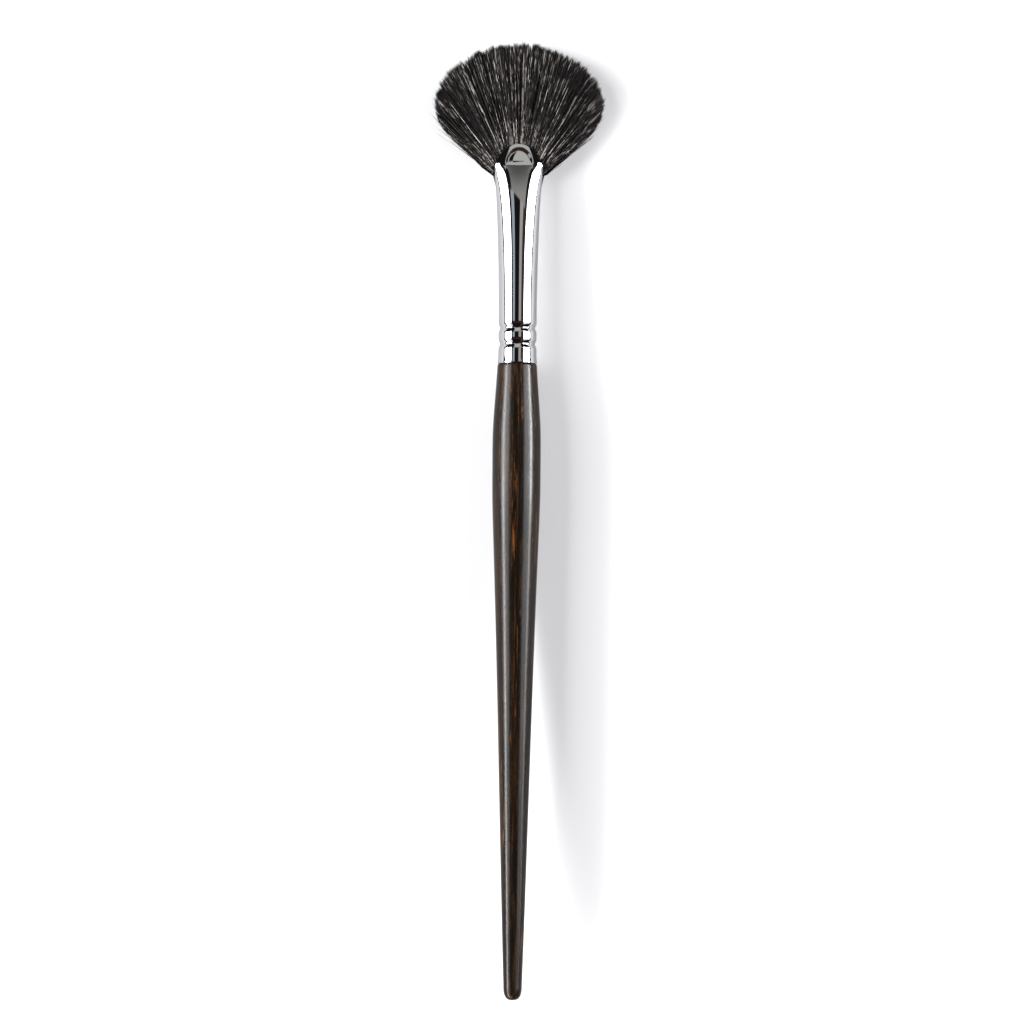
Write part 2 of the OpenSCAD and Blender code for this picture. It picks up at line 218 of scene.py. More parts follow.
def laid(x, s, z):
    """Points of the straight brush, turned down by the lean and lifted on to the floor, in metres."""
    y_row = s * math.cos(LEAN) + z * math.sin(LEAN) - TOTAL / 2 * math.cos(LEAN)
    z_row = -s * math.sin(LEAN) + z * math.cos(LEAN) + LIFT
    return np.stack(np.broadcast_arrays(x, y_row, z_row), axis=-1) / 1000


def smooth(v):
    """Smooth step: three v squared less two v cubed, with v held between 0 and 1."""
    v = np.clip(v, 0, 1)
    return v * v * (3 - 2 * v)


def rounded(u, power):
    """Height of a round arch of unit width and height: the power root of one less |u| to the power."""
    return np.maximum(0, 1 - np.minimum(1, np.abs(u)) ** power) ** (1 / power)


def piece(name, points, faces, material, slot, values=None):
    """One mesh from arrays: points by row, then lists of faces with equal numbers of corners.
    values holds a number for every point, by attribute name."""
    points = points.reshape(-1, 3)
    faces = [np.asarray(part, dtype=np.int32) for part in faces if len(part)]
    corners = np.concatenate([part.ravel() for part in faces])
    sizes = np.concatenate([np.full(len(part), part.shape[1], dtype=np.int32) for part in faces])
    mesh = bpy.data.meshes.new(name)
    mesh.vertices.add(len(points))
    mesh.vertices.foreach_set("co", points.astype(np.float32).ravel())
    mesh.loops.add(len(corners))
    mesh.loops.foreach_set("vertex_index", corners)
    mesh.polygons.add(len(sizes))
    starts = np.concatenate([[0], np.cumsum(sizes)[:-1]]).astype(np.int32)
    mesh.polygons.foreach_set("loop_start", starts)
    mesh.polygons.foreach_set("loop_total", sizes)
    mesh.polygons.foreach_set("use_smooth", np.ones(len(sizes), dtype=bool))
    mesh.update(calc_edges=True)
    for key, numbers in (values or {}).items():
        kept = mesh.attributes.new(key, "FLOAT", "POINT")
        kept.data.foreach_set("value", numbers.astype(np.float32).ravel())
    mesh.validate()
    mesh.materials.append(material)
    made = bpy.data.objects.new(name, mesh)
    scene.collection.objects.link(made)
    if slot:
        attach(made, "root")
    return made


def wrap_faces(rings, sides, closed):
    """Quads between rings of points. A closed skin joins its last ring to its first."""
    ring = np.arange(rings if closed else rings - 1)[:, None]
    side = np.arange(sides)[None, :]
    after = (ring + 1) % rings
    beside = (side + 1) % sides
    quads = [ring * sides + side, ring * sides + beside, after * sides + beside, after * sides + side]
    return np.stack(np.broadcast_arrays(*quads), axis=-1).reshape(-1, 4)


class Graph:
    """A node tree with short ways to add to it."""

    def __init__(self, tree):
        self.tree = tree
        tree.nodes.clear()

    def add(self, kind, inputs=None, **settings):
        """One node. An input given as a socket is linked, and any other is set."""
        made = self.tree.nodes.new(kind)
        for name, value in settings.items():
            setattr(made, name, value)
        for name, value in (inputs or {}).items():
            if isinstance(value, bpy.types.NodeSocket):
                self.tree.links.new(value, made.inputs[name])
            else:
                made.inputs[name].default_value = value
        return made

    def math(self, operation, first, second=0.0):
        """One sum of two numbers."""
        return self.add("ShaderNodeMath", {0: first, 1: second}, operation=operation).outputs[0]

    def rise(self, value, at, soft):
        """0 below the place, 1 above it, and smooth for soft on either side."""
        return self.add("ShaderNodeMapRange", {
            "Value": value, "From Min": at - soft, "From Max": at + soft, "To Min": 0.0, "To Max": 1.0,
        }, interpolation_type="SMOOTHSTEP").outputs["Result"]

    def between(self, value, low, high, soft):
        """1 between two places, and 0 outside them."""
        above = self.rise(value, high, soft)
        return self.math("SUBTRACT", self.rise(value, low, soft), above)

    def below(self, value, at, soft):
        """1 below the place, 0 above it, and smooth for soft on either side."""
        return self.math("SUBTRACT", 1.0, self.rise(value, at, soft))

    def mix(self, share, under, over):
        """Two colours mixed by a share."""
        return self.add("ShaderNodeMix", {0: share, 6: under, 7: over}, data_type="RGBA").outputs[2]

    def ramp(self, value, stops):
        """A colour that follows a number, through stops of place and colour."""
        made = self.add("ShaderNodeValToRGB", {"Fac": value})
        elements = made.color_ramp.elements
        while len(elements) < len(stops):
            elements.new(1.0)
        for element, (place, colour) in zip(elements, stops):
            element.position = place
            element.color = (*colour, 1.0)
        return made.outputs["Color"]

    def noise(self, vector, scale, detail=3.0, roughness=0.5, distortion=0.0):
        """Soft noise between about 0.3 and 0.7."""
        return self.add("ShaderNodeTexNoise", {
            "Vector": vector, "Scale": scale, "Detail": detail, "Roughness": roughness,
            "Distortion": distortion,
        }).outputs["Fac"]

    def stretched(self, scale, place=(0.0, 0.0, 0.0)):
        """Object coordinates turned back by the lean, so that y runs along the brush, then scaled."""
        object_place = self.add("ShaderNodeTexCoord").outputs["Object"]
        straight = self.add("ShaderNodeMapping", {
            "Vector": object_place, "Rotation": (LEAN, 0.0, 0.0)}).outputs["Vector"]
        return self.add("ShaderNodeMapping", {
            "Vector": straight, "Scale": scale, "Location": place}).outputs["Vector"]

    def bump(self, height, distance, strength):
        """A normal that leans with a height."""
        return self.add("ShaderNodeBump", {
            "Height": height, "Distance": distance, "Strength": strength}).outputs["Normal"]


def finish_of(name):
    """A new material and its node tree."""
    made = bpy.data.materials.new(name)
    made.use_nodes = True
    return made, Graph(made.node_tree)


def shader(graph, inputs):
    """The surface shader, with its sockets set or linked."""
    made = graph.add("ShaderNodeBsdfPrincipled", inputs)
    graph.add("ShaderNodeOutputMaterial", {"Surface": made.outputs["BSDF"]})


# Finishes
def lacquered_ebony():
    """Near-black wood with brown figure and rust-brown flames along the grain, under clear lacquer."""
    made, g = finish_of("lacquered_ebony")
    broad = g.noise(g.stretched((420.0, 26.0, 420.0)), 1.0, detail=4.0, roughness=0.6, distortion=0.6)
    fine = g.noise(g.stretched((1900.0, 60.0, 1900.0)), 1.0, detail=3.0, roughness=0.6)
    flame = g.noise(g.stretched((620.0, 34.0, 620.0), (3.1, 0.6, 1.7)), 1.0, detail=5.0,
                    roughness=0.62, distortion=1.2)
    ground = g.ramp(broad, ((0.30, (0.003, 0.0022, 0.0015)), (0.52, (0.007, 0.0045, 0.0025)),
                            (0.68, (0.024, 0.012, 0.005))))
    streaked = g.mix(g.rise(fine, 0.60, 0.10), ground, (0.030, 0.015, 0.007, 1.0))
    licks = g.noise(g.stretched((2600.0, 130.0, 2600.0), (0.4, 2.2, 5.1)), 1.0, detail=3.0,
                    roughness=0.6)
    burning = g.math("MULTIPLY", g.rise(flame, 0.60, 0.06), g.rise(licks, 0.53, 0.07))
    colour = g.mix(burning, streaked, (0.125, 0.044, 0.011, 1.0))
    pores = g.noise(g.stretched((5200.0, 900.0, 5200.0)), 1.0, detail=2.0, roughness=0.7)
    pitted = g.rise(pores, 0.40, 0.05)
    colour = g.mix(pitted, (0.004, 0.003, 0.003, 1.0), colour)
    height = g.math("ADD", g.math("MULTIPLY", pitted, 0.6), g.math("MULTIPLY", fine, 0.5))
    gloss = g.math("ADD", g.math("MULTIPLY", fine, 0.16), 0.12)
    shader(g, {
        "Base Color": colour, "Roughness": gloss, "Specular IOR Level": 0.26,
        "Normal": g.bump(height, 0.00002, 0.35),
    })
    return made


def bright_plate():
    """Polished plate over drawn tube: nearly mirror, with faint lines along the tube."""
    made, g = finish_of("bright_plate")
    drawn = g.noise(g.stretched((5200.0, 70.0, 5200.0)), 1.0, detail=2.0)
    clouds = g.noise(g.stretched((240.0, 160.0, 240.0)), 1.0, detail=3.0)
    colour = g.mix(clouds, (0.77, 0.77, 0.79, 1.0), (0.82, 0.82, 0.83, 1.0))
    gloss = g.math("ADD", g.math("MULTIPLY", drawn, 0.03), 0.015)
    shader(g, {
        "Base Color": colour, "Metallic": 1.0, "Roughness": gloss,
        "Normal": g.bump(drawn, 0.000002, 0.25),
    })
    return made


def dark_hair():
    """Black-brown hair. Each hair has its own tone, with painted highlight and shade from its bundle's
    ridge.
    A light one shows painted glints in short lengths, where a noise along it is high. Small painted curls
    of glint lie by the ferrule."""
    made, g = finish_of("dark_hair")
    tone_and_painted_light = g.add("ShaderNodeAttribute", attribute_name="tone_and_painted_light").outputs["Fac"]
    strand = g.add("ShaderNodeAttribute", attribute_name="strand").outputs["Fac"]
    along = g.add("ShaderNodeAttribute", attribute_name="along").outputs["Fac"]
    length = g.math("MULTIPLY", along, 8.0)
    place = g.add("ShaderNodeCombineXYZ", {"X": strand, "Y": length}).outputs["Vector"]
    near = g.below(along, 0.22, 0.22)
    # Painted glints: a light hair keeps its tone above 0.42 only where a noise along it is high, more
    # often by the ferrule
    flicker = g.noise(place, 1.0, detail=2.0, roughness=0.6)
    painted_glint = g.math("ADD", flicker, g.math("MULTIPLY", near, 0.04))
    painted_glint = g.rise(painted_glint, 0.50, 0.14)
    above = g.math("MAXIMUM", g.math("SUBTRACT", tone_and_painted_light, 0.42), 0.0)
    dimmed = g.math("MULTIPLY", above, g.math("SUBTRACT", 1.0, painted_glint))
    tone_and_painted_light = g.math("SUBTRACT", tone_and_painted_light, dimmed)
    # Painted curls of glint, strongest by the ferrule
    curls = g.noise(g.stretched((2400.0, 1300.0, 2400.0)), 1.0, detail=2.0)
    painted_curls = g.math("MULTIPLY", g.math("SUBTRACT", curls, 0.44), g.math("ADD", near, 0.25))
    tone_and_painted_light = g.math("ADD", tone_and_painted_light, g.math("MULTIPLY", painted_curls, 0.85))
    colour = g.ramp(tone_and_painted_light, ((0.0, (0.0012, 0.001, 0.0012)), (0.40, (0.007, 0.006, 0.0065)),
                           (0.70, (0.070, 0.063, 0.061)), (1.0, (0.66, 0.61, 0.56))))
    shader(g, {"Base Color": colour, "Roughness": 0.45, "Specular IOR Level": 0.05})
    return made


def amber_resin():
    """Cast resin, clear amber with small clouds."""
    made, g = finish_of("amber_resin")
    clouds = g.noise(g.stretched((700.0, 700.0, 700.0)), 1.0, detail=4.0)
    colour = g.mix(clouds, (0.62, 0.46, 0.20, 1.0), (0.80, 0.68, 0.40, 1.0))
    shader(g, {
        "Base Color": colour, "Roughness": 0.3, "Normal": g.bump(clouds, 0.0001, 0.3),
    })
    return made


def waxed_thread():
    """Thread of twisted fibres, a little waxed."""
    made, g = finish_of("waxed_thread")
    place = g.stretched((1.0, 1.0, 1.0))
    twist = g.add("ShaderNodeTexWave", {
        "Vector": place, "Scale": 2600.0, "Distortion": 1.5, "Detail": 2.0,
    }, bands_direction="DIAGONAL").outputs["Fac"]
    colour = g.mix(twist, (0.52, 0.48, 0.38, 1.0), (0.84, 0.80, 0.70, 1.0))
    shader(g, {
        "Base Color": colour, "Roughness": 0.6, "Normal": g.bump(twist, 0.00004, 0.6),
    })
    return made


def pale_floor():
    """Plain matt floor with a barely seen mottle. What the brush mirrors of it is darker, as it is
    where grey cards stand beside a product."""
    made, g = finish_of("pale_floor")
    mottle = g.noise(g.add("ShaderNodeTexCoord").outputs["Object"], 40.0, detail=4.0)
    colour = g.mix(mottle, (0.87, 0.87, 0.88, 1.0), (0.89, 0.89, 0.90, 1.0))
    seen = g.add("ShaderNodeLightPath").outputs["Is Camera Ray"]
    colour = g.mix(seen, (0.46, 0.46, 0.47, 1.0), colour)
    shader(g, {"Base Color": colour, "Roughness": 0.9, "Specular IOR Level": 0.1})
    return made


# Handle
def curve_r(start, end, share):
    """Cubic through two stations of place, radius and slope, by Hermite's four weights."""
    span = end[0] - start[0]
    ends = start[1] * (2 * share**3 - 3 * share**2 + 1) + end[1] * (3 * share**2 - 2 * share**3)
    leans = start[2] * (share**3 - 2 * share**2 + share) + end[2] * (share**3 - share**2)
    return ends + span * leans


def round_r(d):
    """Radius of the round part of the ferrule. Its flare falls by squares, and each crimp is a dip like
    a bell: a half to the power of the square of the distance in half widths."""
    dips = [0.5 ** (((d - at) / (CRIMP_W / 2)) ** 2) for at in CRIMP_AT]
    flared = FLARE * np.maximum(0, 1 - d / FLARE_LEN) ** 2
    fade = smooth((ROUND_LEN - d) / CRIMP_FADE)
    return TUBE_R + flared - CRIMP_DEPTH * np.sum(dips, axis=0) * fade


def turned_handle(material):
    """The wood, from its rounded tail to the end of its tenon, as a profile turned round the axis."""
    sides = 128
    # Place, radius and slope at each station
    stations = (
        (NOSE_LEN, TAIL_R, 0.033), (SHOULDER_AT, SHOULDER_R, 0.037), (CROWN_START, CROWN_R, 0.0),
        (CROWN_END, CROWN_R, -0.01), (HANDLE_LEN, NECK_R, -0.04),
    )
    turn = np.linspace(0, np.pi / 2, 22)[1:-1]
    places = [NOSE_LEN * (1 - np.cos(turn) ** (2 / NOSE_POWER))]
    radii = [TAIL_R * np.sin(turn) ** (2 / NOSE_POWER)]
    for (start, end), steps in zip(zip(stations, stations[1:]), (90, 20, 14, 34)):
        share = np.arange(steps) / steps
        places.append(start[0] + (end[0] - start[0]) * share)
        radii.append(curve_r(start, end, share))
    # The edge by the ferrule is rounded, so that a fine dark line shows there
    edge = np.linspace(0, np.pi / 2, 7)
    cut = (places[-1] < HANDLE_LEN - NECK_CHAMFER)
    places[-1] = places[-1][cut]
    radii[-1] = radii[-1][cut]
    places.append(HANDLE_LEN - NECK_CHAMFER * (1 - np.sin(edge)))
    radii.append(NECK_R - NECK_CHAMFER * (1 - np.cos(edge)))
    d = np.linspace(0, TENON_LEN - TENON_CHAMFER, 60)
    inside = WALL + TENON_GAP
    places.append(np.concatenate([[HANDLE_LEN], FERRULE_AT + d, [FERRULE_AT + TENON_LEN]]))
    radii.append(np.concatenate([[round_r(0.0) - inside], round_r(d) - inside,
                                 [TUBE_R - inside - TENON_CHAMFER]]))
    s = np.concatenate(places)[:, None]
    r = np.concatenate(radii)[:, None]
    angle = np.linspace(0, 2 * np.pi, sides, endpoint=False)[None, :]
    rings = laid(r * np.sin(angle), s, r * np.cos(angle)).reshape(-1, 3)
    ends = laid(np.zeros(2), np.array([0.0, FERRULE_AT + TENON_LEN]), np.zeros(2))
    count = len(s)
    around = np.arange(sides)
    beside = (around + 1) % sides
    first = count * sides
    tail = np.stack([beside, around, np.full(sides, first)], axis=-1)
    last = (count - 1) * sides
    head = np.stack([last + around, last + beside, np.full(sides, first + 1)], axis=-1)
    faces = [wrap_faces(count, sides, False), tail, head]
    made = piece("handle_wood", np.concatenate([rings, ends]), faces, material, "lacquered_wood")
    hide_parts("handle")


# Ferrule
def spread(d):
    """How far along the pressed part a place is, from 0 to 1."""
    return np.clip((d - ROUND_LEN) / (SIDE_LEN - ROUND_LEN), 0, 1)


def half_w(d):
    """Half width outside: slow widening by a low power, and a late flare by a high one."""
    t = spread(d)
    return TUBE_R + (MOUTH_HALF - TUBE_R) * (SLOW_SHARE * t**SLOW_POWER + LATE_SHARE * t**LATE_POWER)


def half_t(d):
    """Half thickness outside: pressed down by a power of the way to the crease, then closing in."""
    t = np.clip((d - ROUND_LEN) / (CREASE_AT - ROUND_LEN), 0, 1)
    return TUBE_R - (TUBE_R - MOUTH_HALF_T) * t**PRESS_POWER - LIP_FALL * np.maximum(0, d - CREASE_AT)


def outline(u, d):
    """Height of the section at a share u of its half width: an ellipse that turns into a lens, whose
    height is one less a crown times u squared, with square corners. The crown grows up the lip."""
    up = np.maximum(0, d - CREASE_AT)
    crown = LENS_CROWN + LENS_CROWN_RISE * up + LENS_CROWN_CUBE * up**3
    lens = (1 - crown * u**2) * rounded(u, LENS_POWER)
    share = smooth((d - LENS_FROM) / (LENS_TO - LENS_FROM))
    return (1 - share) * rounded(u, 2.0) + share * lens


def section(angle, d, inset):
    """Section at d, drawn in by inset: x by the cosine, z by the outline's height there."""
    across = np.cos(angle)
    x = across * (half_w(d) - inset)
    z = np.sign(np.sin(angle)) * outline(np.minimum(1, np.abs(across)), d) * (half_t(d) - inset)
    return x, z


def rim_at(share):
    """Height of the rim at a share of the half width: low at the sides, arched in the middle."""
    return SIDE_LEN + ARCH_H * rounded(share, ARCH_POWER)


def higher(first, second):
    """The higher of two heights, with the corner between them rounded."""
    return (first + second + np.sqrt((first - second) ** 2 + CORNER_SOFT**2)) / 2


def pressed_lip(x, d):
    """Height pressed into the front and back of the lip. It is the highest of three: a wall that falls
    inward from the arch, a step that falls from the crease, and a floor. The floor rises from a trough
    by the crease, then falls towards the mouth, and slopes down to the left of the disc's edge."""
    up = d - CREASE_AT
    above = np.maximum(0, up)
    fall = LIP_FALL * above
    in_w = (x - ARCH_MID) / ARCH_HALF_W
    in_h = np.maximum(up - ARCH_FOOT, 0) / ARCH_TALL
    reach = in_w**2 + in_h**2
    inward = np.maximum(0, 1 - np.sqrt(reach)) * ARCH_MEAN_R
    steep = WALL_TOP + (WALL_SIDE - WALL_TOP) * in_w**2 / np.maximum(0.01, reach)
    wall = -fall - steep * inward
    step = -STEP_SLOPE * np.maximum(0, up + STEP_BACK)
    trough = -TROUGH + TROUGH_RISE * above
    disc = DISC_LIFT - TROUGH - DISC_FALL * (above - DISC_FROM)
    left_edge = EDGE_IN * np.clip((up - EDGE_FROM) / EDGE_TALL, 0, 1) ** EDGE_POWER - EDGE_OUT
    beyond = np.maximum(0, left_edge - x)
    ramp = (RAMP - RAMP_EASE * np.abs(left_edge)) * beyond - RAMP_BEND * beyond**2
    ground = -higher(-trough, -disc) - DISC_TILT * (x + DISC_TILT_MID) - ramp
    return (higher(higher(wall, step), ground) + fall) * smooth((up + RELIEF_BACK) / RELIEF_FADE)


def pressed(x, z, d):
    """Height with the relief in it. It fades where the section turns down at its sides."""
    return z + np.sign(z) * pressed_lip(x, d) * smooth((np.abs(z) - FACE_FROM) / FACE_OVER)


def pressed_ferrule(material):
    """The metal tube: outer skin, rounded rim, inner skin and rolled back end, joined in one loop.
    Columns are evenly spaced round the mouth, and rows end on the arched rim. Rows lie closest on the
    crimps and on the lip."""
    sides = 264
    fine = np.linspace(0, 2 * np.pi, 40001)
    x, z = section(fine, CREASE_AT, 0.0)
    length = np.concatenate([[0], np.cumsum(np.hypot(np.diff(x), np.diff(z)))])
    angle = np.interp(np.arange(sides) / sides * length[-1], length, fine)[None, :]
    share = np.abs(np.cos(angle))
    rim = rim_at(share)
    bead = WALL / 2

    press_from = 34.0
    crimped = np.concatenate([np.linspace(0.05, 2.6, 10), np.linspace(2.8, 9.6, 96)])
    tube = np.linspace(9.9, press_from, 52)
    lip = np.linspace(0, 1, 110)[1:, None]
    round_d = np.concatenate([crimped, tube])[:, None]
    outer_d = np.concatenate([
        np.broadcast_to(round_d, (len(round_d), sides)),
        press_from + (rim - bead - press_from) * lip,
    ])
    edge = np.linspace(0, np.pi, 8)[1:-1, None]
    edge_d = rim - bead + bead * np.sin(edge)
    inner_lip = np.linspace(1, 0, 36)[:, None]
    inner_low = np.concatenate([np.linspace(30, 12, 8), np.linspace(9.6, 0.05, 48)])[:, None]
    inner_d = np.concatenate([
        press_from + (rim - bead - press_from) * inner_lip,
        np.broadcast_to(inner_low, (len(inner_low), sides)),
    ])
    back = np.linspace(np.pi, 2 * np.pi, 6)[1:-1, None]
    back_d = np.broadcast_to(0.05 * (1 + np.sin(back)), (len(back), sides))

    def skin(d, inset):
        """Points at d, drawn in by inset: turned below the pressed part, and a section above it."""
        x, z = section(angle, np.maximum(d, ROUND_LEN), inset)
        shrink = np.where(d < ROUND_LEN, (round_r(d) - inset) / (TUBE_R - inset), 1.0)
        return x * shrink, pressed(x, z, d) * shrink

    x_out, z_out = skin(outer_d, 0.0)
    x_edge, z_edge = skin(edge_d, bead * (1 - np.cos(edge)))
    x_in, z_in = skin(inner_d, WALL)
    x_back, z_back = skin(back_d, bead * (1 - np.cos(back)))
    d = np.concatenate([outer_d, edge_d, inner_d, back_d])
    x = np.concatenate([x_out, x_edge, x_in, x_back])
    z = np.concatenate([z_out, z_edge, z_in, z_back])
    quads = wrap_faces(len(d), sides, True)[:, ::-1]
    made = piece("ferrule_metal", laid(x, FERRULE_AT + d, z), [quads], material, "plated_metal")
    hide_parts("ferrule")


# Hair
def tip_reach(angle):
    """Length from the place all hairs point away from to the outline of the tips: a circle that is
    a little flat on top and full at its shoulders, each by a bell of the angle."""
    rise = FAN_CENTRE - FAN_FROM
    full = rise * np.cos(angle) + np.sqrt(FAN_R**2 - (rise * np.sin(angle)) ** 2)
    full = full + SHOULDER_OUT * np.exp(-((np.abs(angle) - SHOULDER_TURN) / SHOULDER_WIDE) ** 2)
    full = full - TOP_FLAT * np.exp(-((angle / TOP_WIDE) ** 2))
    return full - CORNER_BACK * np.abs(angle / TIP_FLANK) ** CORNER_POWER


def rim_crossing(share):
    """Where a hair at a share of the fan's width passes the rim, found by halving."""
    low = np.full(share.shape, SIDE_LEN - 0.5)
    high = np.full(share.shape, FERRULE_LEN + 1)
    for _ in range(22):
        middle = (low + high) / 2
        x = np.maximum(np.abs(share) * (half_w(middle) - HAIR_IN),
                       np.tan(np.abs(share) * FLANK) * (middle - FAN_FROM))
        inside = middle < rim_at(x / (MOUTH_HALF - WALL))
        low = np.where(inside, middle, low)
        high = np.where(inside, high, middle)
    return high + 0.1


def inside_mouth(x, d):
    """Half height of the hair inside the ferrule: the section's, less the wall, the dish and a gap."""
    share = np.minimum(1, np.abs(x) / (half_w(d) - HAIR_IN))
    dished = DISH_DEPTH * smooth((d - CREASE_AT + DISH_BACK) / DISH_EASE)
    dished = dished * smooth(DISH_HALF_W - np.abs(x))
    return np.maximum(0.05, outline(share, d) * (half_t(d) - HAIR_IN) - dished - HAIR_CLEAR)


def hair_tubes(draw, x, d, z, stray):
    """Thin three-sided tubes along paths, each closed at its root and drawn to a point at its tip."""
    count = len(x)
    width = np.array(HAIR_R)[None, :]
    width = width * draw.uniform(*WIDTH_SHARE, count)[:, None] * (1 - STRAY_THINNER * stray)
    run_x = np.gradient(x, axis=1)
    run_d = np.gradient(d, axis=1)
    size = np.hypot(run_x, run_d)
    roll = draw.uniform(0, 2 * np.pi, count)[:, None, None] + np.arange(3) * 2 * np.pi / 3
    across = width[:, :, None] * np.cos(roll)
    points_x = x[:, :-1, None] + across * (run_d / size)[:, :-1, None]
    points_d = d[:, :-1, None] - across * (run_x / size)[:, :-1, None]
    points_z = z[:, :-1, None] + width[:, :, None] * np.sin(roll)
    tubes = laid(points_x, FERRULE_AT + points_d, points_z).reshape(count, -1, 3)
    tips = laid(x[:, -1:], FERRULE_AT + d[:, -1:], z[:, -1:])
    points = np.concatenate([tubes, tips], axis=1)

    rings = len(HAIR_R)
    last = (rings - 1) * 3
    tip = last + 3
    ring_quads = wrap_faces(rings, 3, False)[:, ::-1]
    ends = np.array([[last + 1, last, tip], [last + 2, last + 1, tip], [last, last + 2, tip], [0, 1, 2]])
    offset = np.arange(count)[:, None, None] * points.shape[1]
    quads = (ring_quads[None] + offset).reshape(-1, 4)
    tris = (ends[None] + offset).reshape(-1, 3)
    return points, [quads, tris]


def hairs(name, count, seed, low, high, material, start=36.0, stray=0.0):
    """Many hairs as one mesh, from start inside the ferrule to their tips.
    Across the fan a hair keeps a share of the width, and through it a share between low and high.
    Hairs lean together into locks, strands and fine strands, and end at uneven lengths."""
    draw = np.random.default_rng(seed)
    shared = np.random.default_rng(LOCK_SEED)
    turn = draw.uniform(-1, 1, count)
    if stray:
        turn = np.sign(turn) * draw.uniform(*STRAY_TURN, count)
    depth = draw.uniform(low, high, count)
    v = np.array(HAIR_AT)[None, :]
    free_v = np.maximum(v, 0)

    # Tone with painted glints and painted ridge shade, lean and length, bundle by bundle
    turn_v = turn[:, None] + np.zeros_like(v)
    # A light hair gets a higher tone, which the material shows as painted glints in short lengths
    light = draw.uniform(0, 1, count) < GLINT_SHARE - GLINT_SHARE_FALL * np.abs(turn)
    tone_and_painted_light = draw.normal(0, HAIR_TONE_CHANCE, count)
    tone_and_painted_light = tone_and_painted_light + light * draw.normal(GLINT_TONE, GLINT_TONE_CHANCE, count)
    tone_and_painted_light = tone_and_painted_light + MIDDLE_TONE - RIGHT_FALL * turn - FLANK_FALL * np.abs(turn) ** FLANK_FALL_POWER
    drop = np.zeros(count)
    at_tip = smooth((free_v - (1 - TIP_PART)) / TIP_PART)
    for bundles, pull, tip_pull, ridge, spike, uneven in LOCKS:
        own = np.clip(((turn + 1) / 2 * bundles).astype(int), 0, bundles - 1)
        shift = shared.uniform(-BUNDLE_SHIFT, BUNDLE_SHIFT, bundles)
        middle = ((np.arange(bundles) + 0.5 + shift) / bundles * 2 - 1)[own]
        off_middle = np.abs(middle - turn) * bundles
        turn_v = turn_v + (pull * smooth(free_v) + tip_pull * at_tip) * (middle - turn)[:, None]
        # The ridge term paints a highlight on each bundle's middle and shade on its sides
        tone_and_painted_light = tone_and_painted_light + draw.normal(0, BUNDLE_TONE_CHANCE, bundles)[own] + ridge * (1 - 2 * off_middle)
        drop = drop + shared.uniform(0, uneven, bundles)[own] + spike * off_middle
        thinned = THIN_SHARE * pull * draw.uniform(0, 1, bundles)[own] + THIN_SHARE * ridge * off_middle
        depth = depth * (1 - thinned)
    turn_v = turn_v + draw.normal(0, TURN_CHANCE + STRAY_TURN_CHANCE * stray, count)[:, None] * free_v
    most = 1.0 + STRAY_PAST * stray
    turn_v = np.clip(turn_v, -most, most)
    angle = turn_v * (FLANK + (TIP_FLANK - FLANK) * smooth(free_v * 2.5))

    # Path: where it crosses the rim, and where it ends. A few hairs are longer than their neighbours.
    long = (draw.uniform(0, 1, count) < LONG_SHARE) * draw.uniform(0, LONG_MOST, count)
    short = drop + draw.exponential(SHORT_CHANCE, count) - ALL_LONGER - long
    short = short - stray * draw.uniform(*STRAY_LONGER, count)
    reach = tip_reach(np.clip(angle[:, -1], -TIP_FLANK, TIP_FLANK)) - short
    d_tip = (FAN_FROM + reach * np.cos(angle[:, -1]))[:, None]
    crossing = rim_crossing(np.clip(turn, -1, 1))[:, None]
    d = np.where(v < 0, start, crossing + (d_tip - crossing) * free_v)
    free = np.tan(angle) * np.maximum(0, d - FAN_FROM)
    held = turn_v * (half_w(d) - HAIR_IN)
    x = np.where((np.abs(held) > np.abs(free)) & (v < 0.1), held, free)
    waver = draw.normal(0, WAVER, count)[:, None]
    span = draw.uniform(*WAVER_SPAN, count)[:, None]
    waver = waver * np.sin(span * free_v + draw.uniform(0, WAVER_START, count)[:, None])
    x = x + waver * smooth(free_v * 3)

    # Thickness: from the mouth up to the belly, then down to the tips
    side = rounded(np.clip(turn_v, -1, 1), FAN_POWER)
    within = inside_mouth(x, d)
    rim_t = within[:, 1:2]
    full = rim_t + (FAN_HALF_T * side - rim_t) * (1 - (1 - np.minimum(1, free_v / BELLY_AT)) ** 2)
    past_belly = np.maximum(0, free_v - BELLY_AT) / (1 - BELLY_AT)
    thin = 1 - (1 - TIP_HALF_T / FAN_HALF_T) * past_belly**TIP_THIN_POWER
    z = depth[:, None] * np.where(v < 0.01, within, full * thin)
    z = z + draw.normal(0, LOOSE, count)[:, None] * free_v * (1 - free_v) * 2
    points, faces = hair_tubes(draw, x, d, z, stray)

    # Each hair has a tone, with its painted glints and ridge shade, and a number of its own, and each
    # ring its place along the hair
    strand = draw.uniform(0, 900, count)
    step = points.shape[1]
    along = np.broadcast_to(v, (count, len(HAIR_AT)))
    along = np.concatenate([np.repeat(along[:, :-1], 3, axis=1), along[:, -1:]], axis=1)
    tone_and_painted_light = np.clip(BASE_TONE + tone_and_painted_light + STRAY_GLINT * stray, 0, 1)
    values = {
        "tone_and_painted_light": np.repeat(tone_and_painted_light[:, None], step, axis=1),
        "strand": np.repeat(strand[:, None], step, axis=1),
        "along": along,
    }
    made = piece(name, points, faces, material, "hair", values)
    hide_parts("hair_fan")


